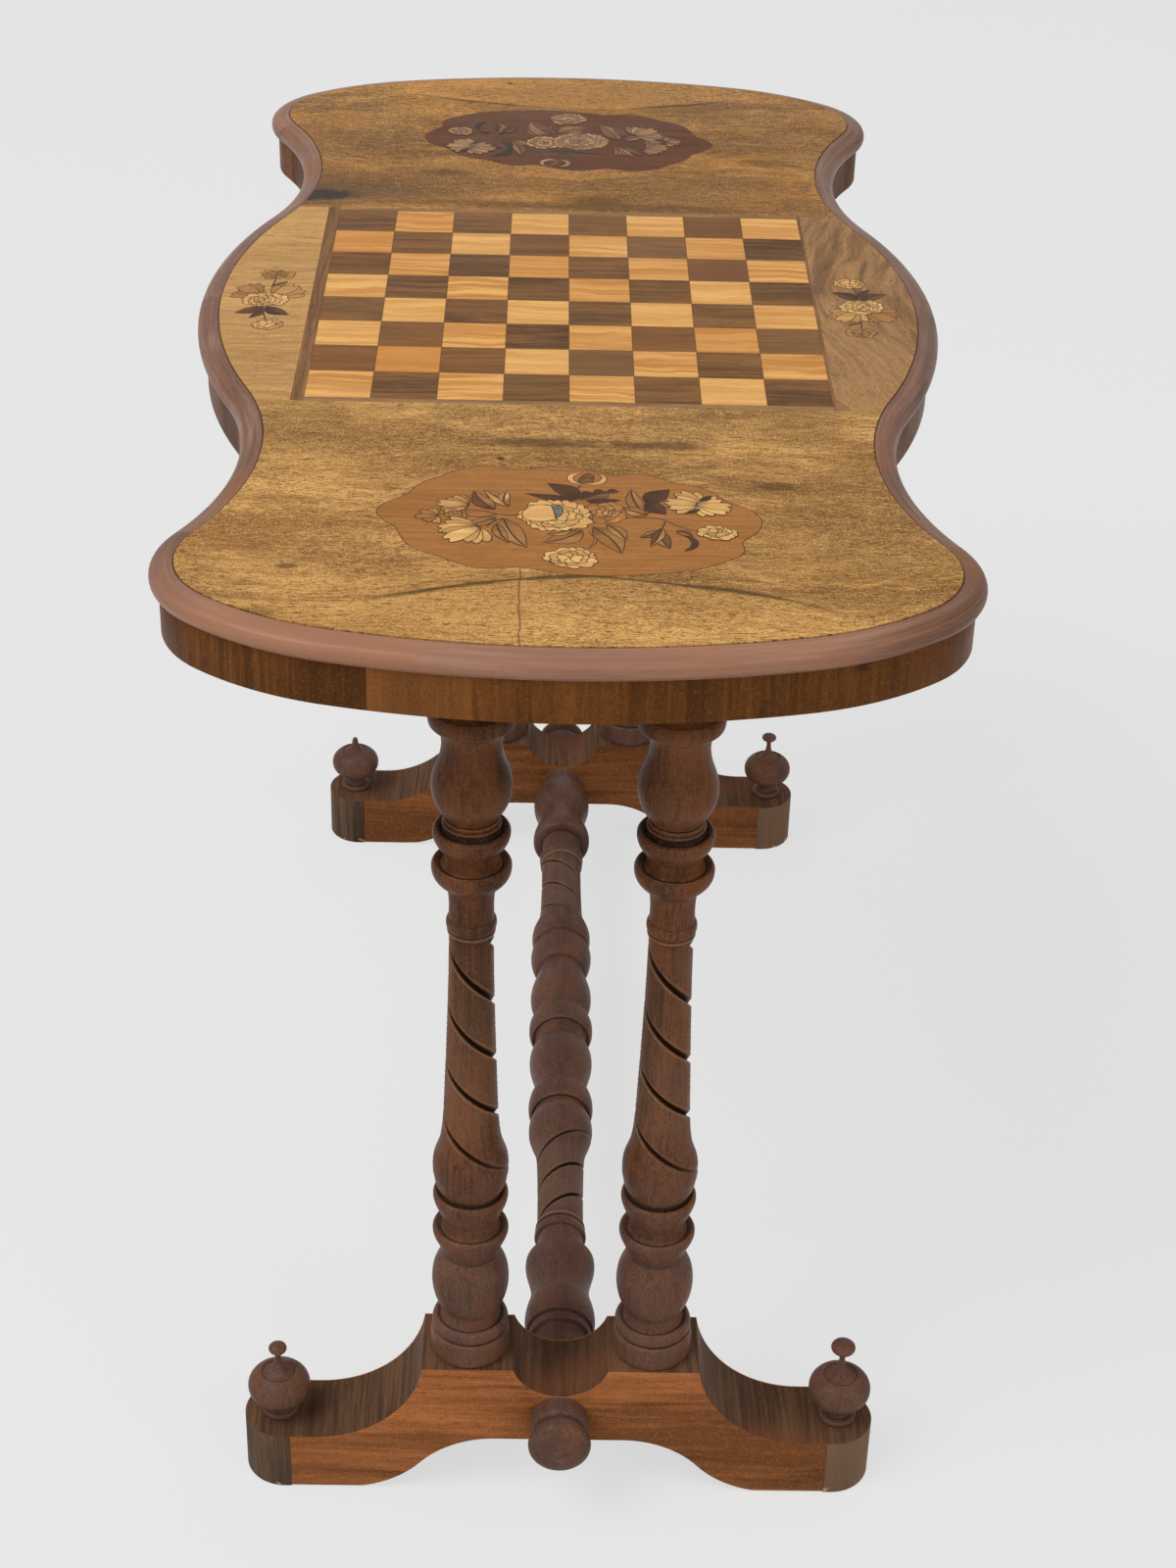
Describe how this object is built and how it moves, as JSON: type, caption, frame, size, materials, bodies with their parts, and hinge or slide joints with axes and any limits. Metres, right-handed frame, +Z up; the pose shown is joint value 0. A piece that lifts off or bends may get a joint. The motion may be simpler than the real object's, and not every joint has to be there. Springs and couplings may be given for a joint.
{
  "type": "games table",
  "caption": "Serpentine-topped games table with an inlaid chessboard, on paired twist-turned columns, arched feet and a turned stretcher.",
  "frame": {"origin": "on the floor, under the middle of the top", "axes": "+X across the table, +Y along it, +Z up"},
  "size_m": [0.521, 1.04, 0.714],
  "materials": {
    "ground_pine": "bare, age-browned softwood",
    "burr_veneer": "polished burr walnut veneer",
    "marquetry": "polished marquetry veneer",
    "dark_squares": "polished dark walnut veneer",
    "light_squares": "polished satinwood veneer",
    "light_band": "polished light stringing",
    "dark_band": "polished dark banding",
    "moulding": "polished walnut",
    "rail_ground": "bare secondary wood",
    "frieze_veneer": "polished crossbanded walnut veneer",
    "bearer": "stained secondary wood",
    "foot_veneer": "polished walnut veneer",
    "foot": "polished walnut",
    "turned": "polished turned walnut"
  },
  "bodies": {
    "root": {"band_far": "light_band", "band_left": "dark_band", "band_near": "light_band", "band_right": "dark_band", "bearer_far": "bearer", "bearer_near": "bearer", "boss_far": "turned", "boss_near": "turned", "column_far_left": "turned", "column_far_right": "turned", "column_near_left": "turned", "column_near_right": "turned", "finial_far_left": "turned", "finial_far_right": "turned", "finial_near_left": "turned", "finial_near_right": "turned", "foot_far": "foot", "foot_near": "foot", "foot_veneer_far_inner": "foot_veneer", "foot_veneer_far_outer": "foot_veneer", "foot_veneer_near_inner": "foot_veneer", "foot_veneer_near_outer": "foot_veneer", "frieze_rail_far": "rail_ground", "frieze_rail_left": "rail_ground", "frieze_rail_near": "rail_ground", "frieze_rail_right": "rail_ground", "frieze_veneer_far": "frieze_veneer", "frieze_veneer_left": "frieze_veneer", "frieze_veneer_near": "frieze_veneer", "frieze_veneer_right": "frieze_veneer", "marquetry_panel_far": "marquetry", "marquetry_panel_near": "marquetry", "moulding_far_left": "moulding", "moulding_far_right": "moulding", "moulding_near_left": "moulding", "moulding_near_right": "moulding", "moulding_side_left": "moulding", "moulding_side_right": "moulding", "squares_dark": "dark_squares", "squares_light": "light_squares", "stretcher": "turned", "top_board": "ground_pine", "veneer_far": "burr_veneer", "veneer_left": "burr_veneer", "veneer_near": "burr_veneer", "veneer_right": "burr_veneer"}
  },
  "joints": []
}
